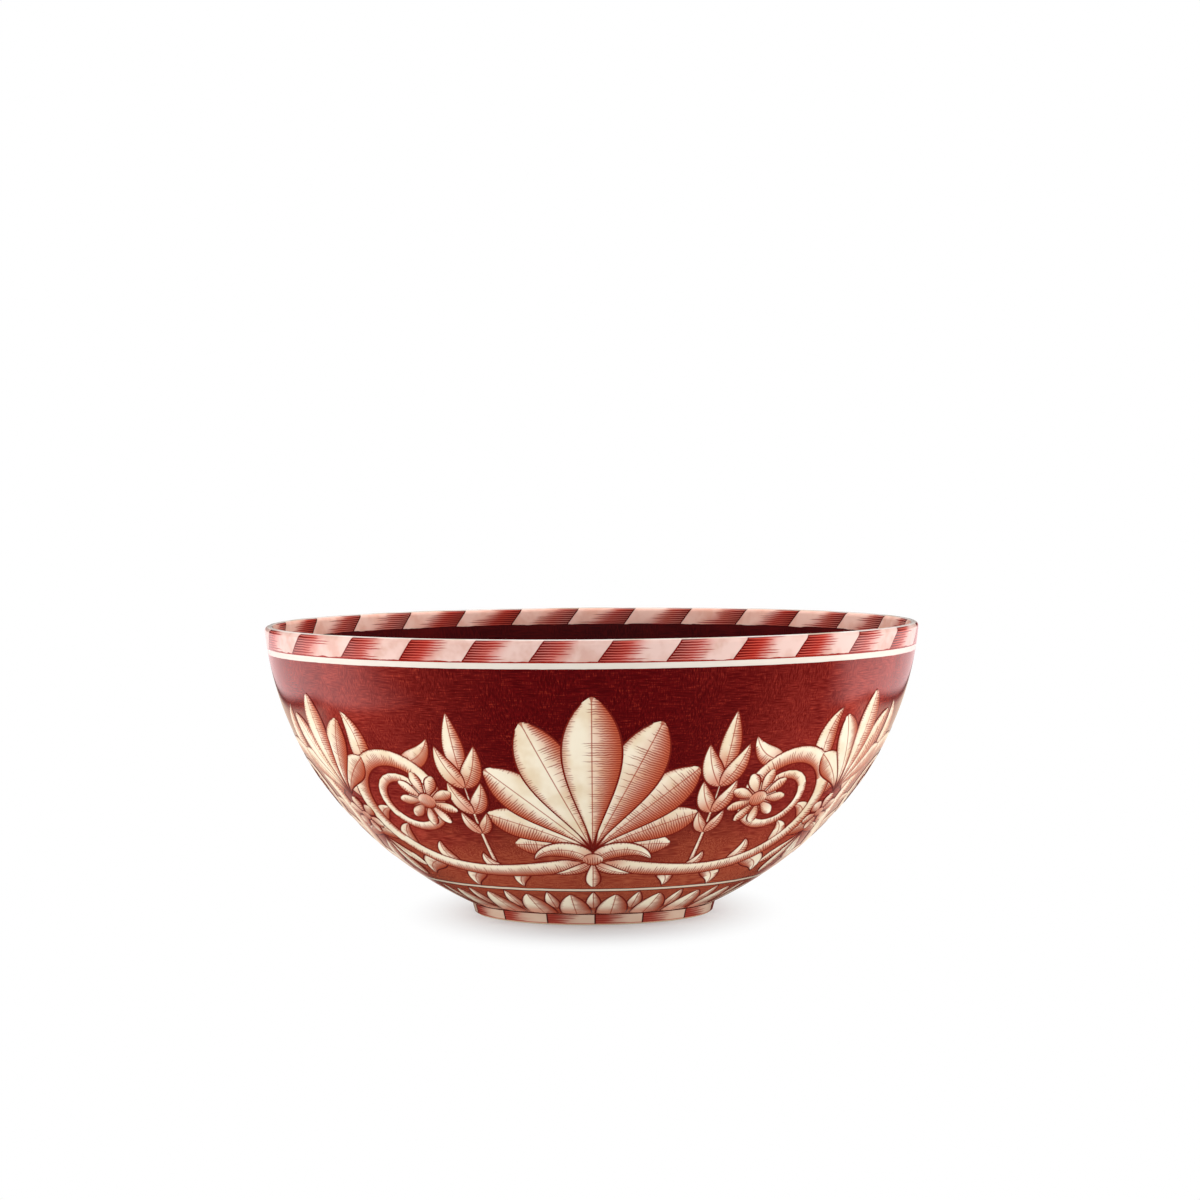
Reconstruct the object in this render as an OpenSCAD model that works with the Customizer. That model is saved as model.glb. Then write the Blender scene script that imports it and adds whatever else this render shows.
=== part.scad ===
// Porcelain bowl on a low foot ring, built up as it is made: a clay body, a foot ring
// luted under it, and the fired-on coats that carry the colours.
// Millimetres, +Z up, with the origin on the table at the centre of the foot.

/* [Bowl] */
// Diameter over the lip
rim_d = 320; // [280:1:360]
// Height from the table to the top of the lip
bowl_h = 142; // [125:1:160]
// Lean of the wall away from upright at the lip, in degrees
lip_lean = 5.5; // [2:0.5:12]
// Slope of the wall above the table where it meets the foot, in degrees
foot_slope = 25; // [20:1:32]
// Thickness of the clay wall
wall_t = 3.6; // [2.6:0.1:6]
// Thickness of the clay floor
floor_t = 5; // [3.5:0.1:8]
// Radius of the curve that leads from the floor up into the wall
well_r = 60; // [40:1:80]

/* [Foot ring] */
// Diameter of the foot where the wall meets it
foot_d = 120; // [100:1:140]
// Height of the foot ring
foot_h = 5.6; // [4.8:0.1:9]
// Width of the clay ring where it is luted to the floor
foot_ring_w = 7; // [6:0.5:10]
// How far each side of the ring draws in between the floor and the table
foot_draw = 1.6; // [0:0.1:1.9]
// Bevel turned along both edges that meet the table
foot_bevel = 0.7; // [0.3:0.1:1]

/* [Coats] */
// Thickness of each fired-on coat
coat_t = 0.4; // [0.2:0.05:0.6]
// Depth of the outside ribbon border below the top of the lip
ribbon_out_h = 10.6; // [7:0.1:16]
// Depth of the cream line under the outside ribbon border
cream_line_h = 2.8; // [1.5:0.1:5]
// Depth of the inside ribbon border below the top of the lip
ribbon_in_h = 9.2; // [6:0.1:14]

/* [Hidden] */
$fn = 360;

// A length that reaches past the whole bowl, for half planes in the section
reach = 2 * (rim_d + bowl_h);

// The finished wall is clay with a coat on each side
coated_t = wall_t + 2 * coat_t;

// The lip is a half round across the finished wall, and the wall leaves it square to its cut
lip = [rim_d / 2 - coated_t / 2, bowl_h - coated_t / 2];
lip_out = [cos(lip_lean), -sin(lip_lean)];
lip_down = [-sin(lip_lean), -cos(lip_lean)];
wall_top = lip + coated_t / 2 * lip_out;

// The round is turned in this many narrow flats, which coat and clay share
lip_flats = 16;

// The wall ends on the outer edge of the foot ring's top face
wall_foot = [foot_d / 2, foot_h];
foot_in = [-cos(foot_slope), -sin(foot_slope)];

// The outside of the wall is two arcs that meet with one tangent: both tangent
// lengths are equal, so the end points and end slopes alone give the arcs.
chord = wall_foot - wall_top;
pull = chord * (lip_down + foot_in);
turn = 1 - lip_down * foot_in;
tangent_l = (-pull + sqrt(pull * pull + 2 * turn * (chord * chord))) / (2 * turn);
arc_joint = (wall_top + wall_foot + tangent_l * (lip_down - foot_in)) / 2;

// Radius of the arc that leaves end point p square to its inward normal n and passes through the joint
function arc_r(p, n) = ((arc_joint - p) * (arc_joint - p)) / (2 * (n * (arc_joint - p)));

upper_in = -lip_out;
lower_in = [foot_in[1], -foot_in[0]];
upper_r = arc_r(wall_top, upper_in);
lower_r = arc_r(wall_foot, lower_in);
upper_c = wall_top + upper_r * upper_in;
lower_c = wall_foot + lower_r * lower_in;
joint_out = (arc_joint - upper_c) / upper_r;

// Height at which the two arcs meet on a surface that lies t inside the outside of the wall
function joint_z(t) = arc_joint[1] - t * joint_out[1];

// The floor runs into the inside of the wall through one arc that touches both
floor_z = foot_h + floor_t + coat_t;
well_z = floor_z + well_r;
well_reach = lower_r - coated_t - well_r;
well_c = [lower_c[0] + sqrt(pow(well_reach, 2) - pow(lower_c[1] - well_z, 2)), well_z];
well_out = (well_c - lower_c) / well_reach;

// Foot ring: half widths of the clay at the floor and where the bevels start
ring_out = foot_d / 2 - coat_t;
ring_in = ring_out - foot_ring_w;
draw_slope = foot_draw / foot_h;
function ring_out_at(z) = ring_out - draw_slope * (foot_h - z);
function ring_in_at(z) = ring_in + draw_slope * (foot_h - z);

// Heights at which the borders end
ribbon_out_z = bowl_h - ribbon_out_h;
cream_z = ribbon_out_z - cream_line_h;
ribbon_in_z = bowl_h - ribbon_in_h;

// Section helpers, with x as the radius and y as the height

module above(z) {
    translate([0, z]) square(reach);
}

module between(z0, z1) {
    translate([0, z0]) square([reach, z1 - z0]);
}

// Everything under the straight cut that carries the half-round lip
module below_lip() {
    polygon([
        lip - reach * lip_out,
        lip + reach * lip_out,
        lip + reach * (lip_out + lip_down),
        lip - reach * (lip_out - lip_down)
    ]);
}

// All that lies within the outside of the wall, t inside its finished face
module outline(t) {
    intersection() {
        translate(upper_c) circle(upper_r - t);
        above(joint_z(t));
    }
    intersection() {
        translate(lower_c) circle(lower_r - t);
        between(joint_z(t) - bowl_h, joint_z(t));
    }
}

// The space inside the bowl, with its faces t behind the finished inside
module hollow(t) {
    wall_z = joint_z(coated_t - t);
    well_end_z = lower_c[1] + (lower_r - coated_t + t) * well_out[1];
    intersection() {
        translate(upper_c) circle(upper_r - coated_t + t);
        above(wall_z);
    }
    intersection() {
        translate(lower_c) circle(lower_r - coated_t + t);
        between(well_end_z, wall_z);
    }
    intersection() {
        translate(well_c) circle(well_r + t);
        translate([well_c[0], floor_z - t]) square([reach, well_end_z - floor_z + t]);
    }
    translate([0, floor_z - t]) square([well_c[0], well_end_z - floor_z + t]);
}

// Corner i of the flats on the half-round end of the wall
function lip_point(r, i) = let (a = 180 * i / lip_flats - lip_lean) lip + r * [cos(a), sin(a)];

// Half-round end of the wall
module lip_round(r) {
    polygon([for (i = [0 : lip_flats]) lip_point(r, i)]);
}

// The half round of clay is one with the wall: this part of it lies inside the wall
module lip_root() {
    translate(lip) rotate(-lip_lean) square(wall_t / 2, center = true);
}

// A strip of the outside coat between two heights
module outside_strip(z0, z1) {
    intersection() {
        difference() {
            outline(0);
            outline(coat_t);
        }
        between(z0, z1);
        below_lip();
    }
}

// A strip of the inside coat between two heights
module inside_strip(z0, z1) {
    intersection() {
        difference() {
            hollow(coat_t);
            hollow(0);
        }
        between(z0, z1);
        below_lip();
    }
}

// Thrown and turned clay bowl, with a flat underside for the foot ring
module bowl_body() {
    color("#efe7d9")
    rotate_extrude() {
        intersection() {
            difference() {
                outline(coat_t);
                hollow(coat_t);
            }
            between(foot_h, bowl_h);
            below_lip();
        }
        lip_round(wall_t / 2);
        lip_root();
    }
}

// Turned clay ring, luted to the underside, with its bare face on the table
module foot_ring() {
    color("#e3d7c3")
    rotate_extrude()
    polygon([
        [ring_in, foot_h],
        [ring_out, foot_h],
        [ring_out_at(foot_bevel), foot_bevel],
        [ring_out_at(0) - foot_bevel, 0],
        [ring_in_at(0) + foot_bevel, 0],
        [ring_in_at(foot_bevel), foot_bevel]
    ]);
}

// White glaze on the underside, within the foot ring
module underside_glaze() {
    color("#f4f0e8")
    rotate_extrude()
    polygon([
        [0, foot_h],
        [ring_in, foot_h],
        [ring_in_at(foot_h - coat_t), foot_h - coat_t],
        [0, foot_h - coat_t]
    ]);
}

// Dark red ground over the floor and the inside of the wall
module inside_red_coat() {
    color("#4a0708")
    rotate_extrude() inside_strip(floor_z - coat_t, ribbon_in_z);
}

// Pale border of the twisted ribbon inside the rim
module inside_ribbon_band() {
    color("#c9988a")
    rotate_extrude() inside_strip(ribbon_in_z, bowl_h);
}

// Cream glaze over the half-round lip
module lip_edge() {
    color("#f3e8dc")
    rotate_extrude()
    polygon([
        for (i = [0 : lip_flats]) lip_point(coated_t / 2, i),
        for (i = [lip_flats : -1 : 0]) lip_point(wall_t / 2, i)
    ]);
}

// Pale border of the twisted ribbon outside the rim
module outside_ribbon_band() {
    color("#dcb0a0")
    rotate_extrude() outside_strip(ribbon_out_z, bowl_h);
}

// Plain cream line under the outside border
module cream_line() {
    color("#ece4d6")
    rotate_extrude() outside_strip(cream_z, ribbon_out_z);
}

// Deep red ground of the outside wall, down to the foot
module outside_red_coat() {
    color("#6a100e")
    rotate_extrude() outside_strip(foot_h, cream_z);
}

// Painted band round the outside of the foot ring
module foot_band() {
    color("#b98872")
    rotate_extrude()
    polygon([
        [ring_out, foot_h],
        [ring_out + coat_t, foot_h],
        [ring_out_at(foot_bevel) + coat_t, foot_bevel],
        [ring_out_at(foot_bevel), foot_bevel]
    ]);
}

bowl_body();
foot_ring();
underside_glaze();
inside_red_coat();
inside_ribbon_band();
lip_edge();
outside_ribbon_band();
cream_line();
outside_red_coat();
foot_band();
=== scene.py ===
import bisect
import math
import bmesh
import bpy
from mathutils import Matrix, Vector


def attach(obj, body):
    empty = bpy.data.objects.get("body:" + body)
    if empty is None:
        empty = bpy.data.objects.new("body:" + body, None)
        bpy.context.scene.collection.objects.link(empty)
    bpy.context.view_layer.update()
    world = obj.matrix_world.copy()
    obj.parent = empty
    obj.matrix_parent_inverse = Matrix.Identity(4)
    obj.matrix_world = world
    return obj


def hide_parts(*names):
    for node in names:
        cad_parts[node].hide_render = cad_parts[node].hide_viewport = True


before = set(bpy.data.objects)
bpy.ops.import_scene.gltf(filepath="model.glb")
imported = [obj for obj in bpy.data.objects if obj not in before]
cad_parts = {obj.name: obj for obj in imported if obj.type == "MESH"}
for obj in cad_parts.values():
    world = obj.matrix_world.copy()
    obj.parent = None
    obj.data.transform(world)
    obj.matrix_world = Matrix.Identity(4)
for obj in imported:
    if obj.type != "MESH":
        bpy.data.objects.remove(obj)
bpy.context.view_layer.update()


# Clay bowl. The body is white porcelain, thrown on the wheel and turned to two easy curves, one from
# the lip and one from the foot. Fired coats cover it all over.

mm = 0.001
rim_d = 320 * mm
bowl_h = 142 * mm
lip_lean = math.radians(5.5)
foot_slope = math.radians(25)
wall_t = 3.6 * mm
floor_t = 5 * mm
foot_d = 120 * mm
foot_h = 5.6 * mm
coat_t = 0.4 * mm
coated_t = wall_t + 2 * coat_t

# Both ends of the wall's section, as radius and height, and the ways in which it leaves them
lip = Vector((rim_d / 2 - coated_t / 2, bowl_h - coated_t / 2))
lip_out = Vector((math.cos(lip_lean), -math.sin(lip_lean)))
lip_down = Vector((-math.sin(lip_lean), -math.cos(lip_lean)))
wall_top = lip + coated_t / 2 * lip_out
wall_foot = Vector((foot_d / 2, foot_h))
foot_in = Vector((-math.cos(foot_slope), -math.sin(foot_slope)))

# The wall is two arcs with one tangent where they meet
chord = wall_foot - wall_top
pull = chord.dot(lip_down + foot_in)
turn = 1 - lip_down.dot(foot_in)
tangent_l = (-pull + math.sqrt(pull * pull + 2 * turn * chord.dot(chord))) / (2 * turn)
arc_joint = (wall_top + wall_foot + tangent_l * (lip_down - foot_in)) / 2


def arc_from(end, inward):
    """Radius and centre of the arc that leaves an end of the wall and passes through the joint."""
    way = arc_joint - end
    radius = way.dot(way) / (2 * inward.dot(way))
    return radius, end + radius * inward


upper_r, upper_c = arc_from(wall_top, -lip_out)
lower_r, lower_c = arc_from(wall_foot, Vector((foot_in.y, -foot_in.x)))
joint_out = (arc_joint - upper_c) / upper_r


def tree_node(tree, kind, values=None, **settings):
    """Adds a shader node. A value that is a socket is linked, and any other is set."""
    node = tree.nodes.new(kind)
    for name, value in settings.items():
        setattr(node, name, value)
    for key, value in (values or {}).items():
        if isinstance(value, bpy.types.NodeSocket):
            tree.links.new(value, node.inputs[key])
        else:
            node.inputs[key].default_value = value
    return node


def calc(tree, operation, *values):
    """One math node's result."""
    return tree_node(tree, "ShaderNodeMath", dict(enumerate(values)), operation=operation).outputs[0]


def step(tree, value, low, high, to_low=0.0, to_high=1.0):
    """A smooth step of a value between two limits."""
    values = {"Value": value, "From Min": low, "From Max": high, "To Min": to_low, "To Max": to_high}
    return tree_node(tree, "ShaderNodeMapRange", values, interpolation_type="SMOOTHSTEP").outputs[0]


def mix(tree, factor, a, b):
    """Two colours mixed by a factor."""
    return tree_node(tree, "ShaderNodeMix", {0: factor, 6: a, 7: b}, data_type="RGBA").outputs[2]


def spot(tree):
    """The place of a point in the bowl's own frame."""
    return tree.nodes.new("ShaderNodeTexCoord").outputs["Object"]


def noise(tree, scale, detail=3.0, roughness=0.55, place=None):
    """A noise over the bowl's own frame, or over another place."""
    vector = spot(tree) if place is None else place
    values = {"Vector": vector, "Scale": scale, "Detail": detail, "Roughness": roughness}
    return tree_node(tree, "ShaderNodeTexNoise", values).outputs[0]


def grain(tree, scales, detail=3.0, roughness=0.55):
    """A noise with a scale of its own along each axis."""
    values = {0: spot(tree), 1: scales}
    place = tree_node(tree, "ShaderNodeVectorMath", values, operation="MULTIPLY").outputs[0]
    return noise(tree, 1.0, detail, roughness, place)


def rgb(red, green, blue):
    """A colour given as it shows on a screen, from 0 to 255, as a linear colour."""
    def linear(value):
        share = value / 255
        return share / 12.92 if share <= 0.04045 else ((share + 0.055) / 1.055) ** 2.4
    return (linear(red), linear(green), linear(blue), 1.0)


def new_group(name, inputs, outputs):
    """An empty node group with number inputs and outputs."""
    tree = bpy.data.node_groups.new(name, "ShaderNodeTree")
    for socket in inputs:
        tree.interface.new_socket(socket, in_out="INPUT", socket_type="NodeSocketFloat")
    for socket in outputs:
        tree.interface.new_socket(socket, in_out="OUTPUT", socket_type="NodeSocketFloat")
    return tree, tree.nodes.new("NodeGroupInput").outputs, tree.nodes.new("NodeGroupOutput").inputs


def place_group(tree, group, values=None):
    """The outputs of a group that is placed in a tree with its values."""
    return tree_node(tree, "ShaderNodeGroup", values, node_tree=group).outputs


# Glaze ripple: the faint unevenness of a brushed glaze, as a height
ripple_depth = 0.05 * mm
glaze_ripple, ripple_in, ripple_out = new_group("Glaze ripple", ["Fine"], ["Height"])
tree = glaze_ripple
fine = calc(tree, "MULTIPLY", noise(tree, 900.0, 2.0), ripple_in["Fine"])
tree.links.new(calc(tree, "ADD", fine, noise(tree, 60.0, 2.0)), ripple_out["Height"])


def new_material(name, roughness, bump, fine=0.25):
    """A fired surface with a ripple on its normal: its material, its tree and its shader's inputs."""
    material = bpy.data.materials.new(name)
    material.use_nodes = True
    tree = material.node_tree
    shader = tree.nodes["Principled BSDF"]
    shader.inputs["Roughness"].default_value = roughness
    height = place_group(tree, glaze_ripple, {"Fine": fine})["Height"]
    values = {"Strength": bump, "Distance": ripple_depth, "Height": height}
    tree.links.new(tree_node(tree, "ShaderNodeBump", values).outputs[0], shader.inputs["Normal"])
    return material, tree, shader.inputs


def paint_with(material, piece):
    """Gives a piece one material."""
    piece.data.materials.clear()
    piece.data.materials.append(material)


# Fired porcelain: off-white, with faint throwing rings and iron specks
clay_white = rgb(232, 222, 205)
clay_ring = rgb(222, 208, 188)
iron_speck = rgb(150, 118, 88)
clay, tree, shader = new_material("Fired porcelain", roughness=0.55, bump=0.15, fine=1.0)
rings = step(tree, grain(tree, (8.0, 8.0, 900.0)), 0.35, 0.65)
specks = step(tree, noise(tree, 700.0, 1.0), 0.70, 0.76)
tinted = mix(tree, rings, clay_white, clay_ring)
tree.links.new(mix(tree, specks, tinted, iron_speck), shader["Base Color"])
paint_with(clay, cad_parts["bowl_body"])


# Foot ring. A ring of the same clay, turned and luted under the bowl with slip. Its face on the table
# is left bare and sanded, with a bevel along both edges.

foot_ring_w = 7 * mm
foot_draw = 1.6 * mm
foot_bevel = 0.7 * mm
bevel_steps = 4
ring_out = foot_d / 2 - coat_t
ring_in = ring_out - foot_ring_w


def drawn_in(z):
    """How far the ring's sides have drawn in at a height."""
    return foot_draw * (foot_h - z) / foot_h


def quarter_turn(steps):
    """The angles of a quarter round, in even steps."""
    return [math.pi / 2 * i / steps for i in range(steps + 1)]


def new_piece(name, mesh, sharp):
    """Makes a piece of a mesh, with an edge where its faces turn by more than some degrees."""
    bmesh.ops.recalc_face_normals(mesh, faces=mesh.faces)
    data = bpy.data.meshes.new(name)
    mesh.to_mesh(data)
    mesh.free()
    data.set_sharp_from_angle(angle=math.radians(sharp))
    piece = bpy.data.objects.new(name, data)
    bpy.context.scene.collection.objects.link(piece)
    return piece


def lathe(name, section, rows=1, segments=288):
    """Turns a closed section (radius, height) into a piece. Its bake map stacks the turn in rows."""
    weld = 1e-7
    map_fill = 0.998
    mesh = bmesh.new()
    rings = []
    for i in range(segments):
        a = math.tau * i / segments
        rings.append([mesh.verts.new((r * math.sin(a), -r * math.cos(a), z)) for r, z in section])
    lengths = [0.0]
    for here, there in zip(section, section[1:] + section[:1]):
        lengths.append(lengths[-1] + (Vector(there) - Vector(here)).length)
    bake = mesh.loops.layers.uv.new("OFBake")
    per_row = segments // rows
    for i in range(segments):
        row, column = divmod(i, per_row)
        ahead = rings[(i + 1) % segments]
        for j in range(len(section)):
            k = (j + 1) % len(section)
            if max(section[j][0], section[k][0]) < weld:
                continue
            corners = [(rings[i][j], 0, j), (rings[i][k], 0, j + 1), (ahead[k], 1, j + 1), (ahead[j], 1, j)]
            face = mesh.faces.new([vert for vert, _, _ in corners])
            face.smooth = True
            for loop, (_, side, point) in zip(face.loops, corners):
                across = lengths[point] / lengths[-1]
                loop[bake].uv = ((column + side) / per_row * map_fill, (row + across * map_fill) / rows)
    bmesh.ops.remove_doubles(mesh, verts=mesh.verts, dist=weld)
    return new_piece(name, mesh, sharp=35)


def fit(piece, node, material):
    """Puts a piece in the place of its CAD node, with its finish."""
    paint_with(material, piece)
    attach(piece, "root")
    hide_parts(node)


def axes_of(tree, vector):
    """The X, Y and Z of a vector."""
    return tree_node(tree, "ShaderNodeSeparateXYZ", {0: vector}).outputs


# Turned place: where a point lies round the bowl, in turns to the right of the front, its height and its
# radius. Set out is the turns as a painter divides them by eye, with parts that grow towards both sides.
set_out_drift = 0.15
turned_place, _, place_out = new_group("Turned place", [], ["Turns", "Set out", "Height", "Radius"])
tree = turned_place
axes = axes_of(tree, spot(tree))
angle = calc(tree, "ARCTAN2", axes["X"], calc(tree, "MULTIPLY", axes["Y"], -1.0))
turns = calc(tree, "DIVIDE", angle, math.tau)
tree.links.new(turns, place_out["Turns"])
swing = calc(tree, "SINE", calc(tree, "MULTIPLY", turns, 2 * math.tau))
tree.links.new(calc(tree, "MULTIPLY_ADD", swing, set_out_drift / (2 * math.tau), turns), place_out["Set out"])
tree.links.new(axes["Z"], place_out["Height"])
squares = calc(tree, "MULTIPLY_ADD", axes["X"], axes["X"], calc(tree, "POWER", axes["Y"], 2.0))
tree.links.new(calc(tree, "SQRT", squares), place_out["Radius"])

ring_section = [(ring_in, foot_h), (ring_out, foot_h)]
for a in quarter_turn(bevel_steps):
    out_r = ring_out - drawn_in(foot_bevel) - foot_bevel * (1 - math.cos(a))
    ring_section.append((out_r, foot_bevel * (1 - math.sin(a))))
for a in quarter_turn(bevel_steps):
    in_r = ring_in + drawn_in(foot_bevel) + foot_bevel * (1 - math.sin(a))
    ring_section.append((in_r, foot_bevel * (1 - math.cos(a))))

# Bare clay: sandy and specked, and greyer where it stands on the table
sand_pale = rgb(214, 196, 170)
sand_dark = rgb(190, 166, 136)
sand_speck = rgb(128, 96, 70)
table_grey = rgb(172, 152, 128)
worn_h = 0.2 * mm
clean_h = 1.2 * mm
bare, tree, shader = new_material("Bare clay", roughness=0.72, bump=0.5, fine=1.0)
clean = step(tree, place_group(tree, turned_place)["Height"], worn_h, clean_h)
tinted = mix(tree, noise(tree, 360.0), sand_pale, sand_dark)
specks = step(tree, noise(tree, 800.0, 1.0), 0.68, 0.74, to_high=0.7)
tinted = mix(tree, specks, tinted, sand_speck)
tree.links.new(mix(tree, clean, table_grey, tinted), shader["Base Color"])
fit(lathe("foot_ring_clay", ring_section, rows=4), "foot_ring", bare)


# Underside. The floor within the ring is dipped in clear glaze over the white clay. The glaze pools where
# it meets the ring, and has a few pinholes.

pool_r = 1.6 * mm
pool_steps = 6
pool_tint_w = 6 * mm
under_z = foot_h - coat_t
under_section = [(0.0, foot_h), (ring_in, foot_h)]
for a in quarter_turn(pool_steps):
    z = under_z - pool_r * (1 - math.sin(a))
    under_section.append((ring_in + drawn_in(z) - pool_r * (1 - math.cos(a)), z))
under_section.append((0.0, under_z))

glaze_white = rgb(240, 235, 224)
glaze_cloud = rgb(228, 221, 206)
glaze_pool = rgb(206, 206, 196)
glaze_pinhole = rgb(150, 128, 104)
white_glaze, tree, shader = new_material("White glaze", roughness=0.14, bump=0.5, fine=0.3)
radius = place_group(tree, turned_place)["Radius"]
pooled = step(tree, radius, ring_in - pool_tint_w, ring_in, to_high=0.6)
pinholes = step(tree, noise(tree, 520.0, 1.0), 0.72, 0.77)
tinted = mix(tree, noise(tree, 40.0), glaze_white, glaze_cloud)
tinted = mix(tree, pooled, tinted, glaze_pool)
tree.links.new(mix(tree, pinholes, tinted, glaze_pinhole), shader["Base Color"])
fit(lathe("underside_white_glaze", under_section), "underside_glaze", white_glaze)


# Inside ground. Dark red colour is brushed over the floor and wall in several coats and glazed, so it
# is almost black in the depth of the bowl. A third curve leads from the wall into the flat floor.

well_r = 60 * mm
ribbon_in_h = 9.2 * mm
ribbon_in_z = bowl_h - ribbon_in_h
floor_z = foot_h + floor_t + coat_t
well_z = floor_z + well_r
well_reach = lower_r - coated_t - well_r
well_c = Vector((lower_c.x + math.sqrt(well_reach ** 2 - (lower_c.y - well_z) ** 2), well_z))
well_out = (well_c - lower_c) / well_reach


def arc_points(centre, radius, start, end, spacing=1.5 * mm):
    """Points on an arc from one angle below the horizontal to another."""
    count = max(2, round(abs(end - start) * radius / spacing))
    angles = [start + (end - start) * i / count for i in range(count + 1)]
    return [centre + radius * Vector((math.cos(a), -math.sin(a))) for a in angles]


def wall_line(depth, high, low):
    """The wall's section from high to low, at a depth inside its finished outside face."""
    joint_angle = math.asin(-joint_out.y)
    start = math.asin((upper_c.y - high) / (upper_r - depth))
    if low > arc_joint.y - depth * joint_out.y:
        end = math.asin((upper_c.y - low) / (upper_r - depth))
        return arc_points(upper_c, upper_r - depth, start, end)
    line = arc_points(upper_c, upper_r - depth, start, joint_angle)
    end = math.asin((lower_c.y - low) / (lower_r - depth))
    return line + arc_points(lower_c, lower_r - depth, joint_angle, end)[1:]


def inside_line(depth, high):
    """The inside of the bowl from a height down to the middle of the floor, at a depth behind its face."""
    well_end_z = lower_c.y + (lower_r - coated_t + depth) * well_out.y
    wall = wall_line(coated_t - depth, high, well_end_z)
    well = arc_points(well_c, well_r + depth, math.asin(-well_out.y), math.pi / 2)[1:]
    return wall + well + [Vector((well_c.x * share, floor_z - depth)) for share in (0.75, 0.5, 0.25, 0.0)]


def coat_section(line, other):
    """The closed section of a coat that lies between two lines."""
    return [tuple(point) for point in line + other[::-1]]


def mix_numbers(tree, factor, a, b):
    """Two numbers mixed by a factor."""
    return tree_node(tree, "ShaderNodeMix", {0: factor, 2: a, 3: b}).outputs[0]


# Brushed ground: a colour laid on in fine crossed strokes, which leave flecks, and thicker in some places
brushed_ground, _, brushed_out = new_group("Brushed ground", [], ["Streak", "Fleck", "Cloud"])
tree = brushed_ground
sideways = grain(tree, (170.0, 170.0, 1900.0), roughness=0.6)
upright = grain(tree, (1700.0, 1700.0, 190.0), roughness=0.6)
patch = step(tree, noise(tree, 70.0, 2.0), 0.42, 0.58)
woven = mix_numbers(tree, patch, sideways, upright)
crossed = calc(tree, "MULTIPLY", sideways, upright)
tree.links.new(step(tree, woven, 0.34, 0.68), brushed_out["Streak"])
tree.links.new(step(tree, crossed, 0.30, 0.42), brushed_out["Fleck"])
tree.links.new(step(tree, noise(tree, 26.0, 4.0, 0.6), 0.36, 0.68), brushed_out["Cloud"])

inside_dark = rgb(62, 3, 6)
inside_streak = rgb(88, 8, 9)
inside_cloud = rgb(116, 16, 14)
inside_red, tree, shader = new_material("Inside red", roughness=0.12, bump=0.12)
brushed = place_group(tree, brushed_ground)
deep = mix(tree, brushed["Streak"], inside_dark, inside_streak)
cloud = calc(tree, "MULTIPLY", brushed["Cloud"], 0.45)
tree.links.new(mix(tree, cloud, deep, inside_cloud), shader["Base Color"])
inside_section = coat_section(inside_line(coat_t, ribbon_in_z), inside_line(0.0, ribbon_in_z))
fit(lathe("inside_red_glaze", inside_section, rows=2), "inside_red_coat", inside_red)


# Outside ground. Deep red is brushed on in fine crossed strokes and glazed over, darkest behind each fan
# of the frieze. It gives way to a sienna wash near the foot, where a cream line is run round on the wheel.

ribbon_out_h = 10.6 * mm
ribbon_out_z = bowl_h - ribbon_out_h
cream_line_h = 2.8 * mm
cream_z = ribbon_out_z - cream_line_h
wheel_line_z = 20.6 * mm
wheel_line_h = 1.0 * mm
wheel_wobble = 0.5 * mm
thin_top_z = 100 * mm
thin_foot_z = 10 * mm
wash_top_z = 66 * mm
wash_full_z = 30 * mm
wash_ragged = 12 * mm
frieze_repeats = 3

red_dark = rgb(70, 2, 5)
red_streak = rgb(98, 8, 10)
warm_dark = rgb(134, 32, 25)
warm_streak = rgb(174, 66, 52)
red_fleck = rgb(190, 66, 42)
sienna_dark = rgb(144, 54, 36)
sienna_streak = rgb(182, 92, 62)
wheel_cream = rgb(226, 208, 184)
wheel_edge = rgb(86, 16, 12)


def outside_section(high, low):
    """A strip of the outside coat as a closed section."""
    return coat_section(wall_line(0.0, high, low), wall_line(coat_t, high, low))


outside_red, tree, shader = new_material("Outside red", roughness=0.1, bump=0.16, fine=0.35)
place = place_group(tree, turned_place)
brushed = place_group(tree, brushed_ground)
swing = calc(tree, "COSINE", calc(tree, "MULTIPLY", place["Turns"], frieze_repeats * math.tau))
between_fans = calc(tree, "POWER", calc(tree, "MULTIPLY_ADD", swing, -0.5, 0.5), 1.8)
low = step(tree, place["Height"], thin_top_z, thin_foot_z, to_high=0.3)
thin = calc(tree, "MULTIPLY_ADD", between_fans, 0.75, low)
patchy = calc(tree, "MULTIPLY", thin, calc(tree, "MULTIPLY_ADD", brushed["Cloud"], 0.55, 0.6))
patchy = calc(tree, "MINIMUM", patchy, 1.0)
deep = mix(tree, brushed["Streak"], red_dark, red_streak)
warm = mix(tree, brushed["Streak"], warm_dark, warm_streak)
ground = mix(tree, patchy, deep, warm)
ground = mix(tree, calc(tree, "MULTIPLY", brushed["Fleck"], 0.28), ground, red_fleck)
ragged = calc(tree, "MULTIPLY_ADD", brushed["Cloud"], wash_ragged, place["Height"])
foot_wash = step(tree, ragged, wash_top_z, wash_full_z, to_high=0.9)
ground = mix(tree, foot_wash, ground, mix(tree, brushed["Streak"], sienna_dark, sienna_streak))
run_round = calc(tree, "MULTIPLY_ADD", noise(tree, 90.0, 2.0), wheel_wobble, place["Height"])
off_line = calc(tree, "ABSOLUTE", calc(tree, "SUBTRACT", run_round, wheel_line_z))
line = step(tree, off_line, 0.62 * wheel_line_h, 0.42 * wheel_line_h)
dark_line = step(tree, off_line, 1.05 * wheel_line_h, 0.75 * wheel_line_h)
ground = mix(tree, dark_line, ground, wheel_edge)
tree.links.new(mix(tree, line, ground, wheel_cream), shader["Base Color"])
outside_glaze = lathe("outside_red_glaze", outside_section(cream_z, foot_h), rows=2)
fit(outside_glaze, "outside_red_coat", outside_red)


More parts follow.
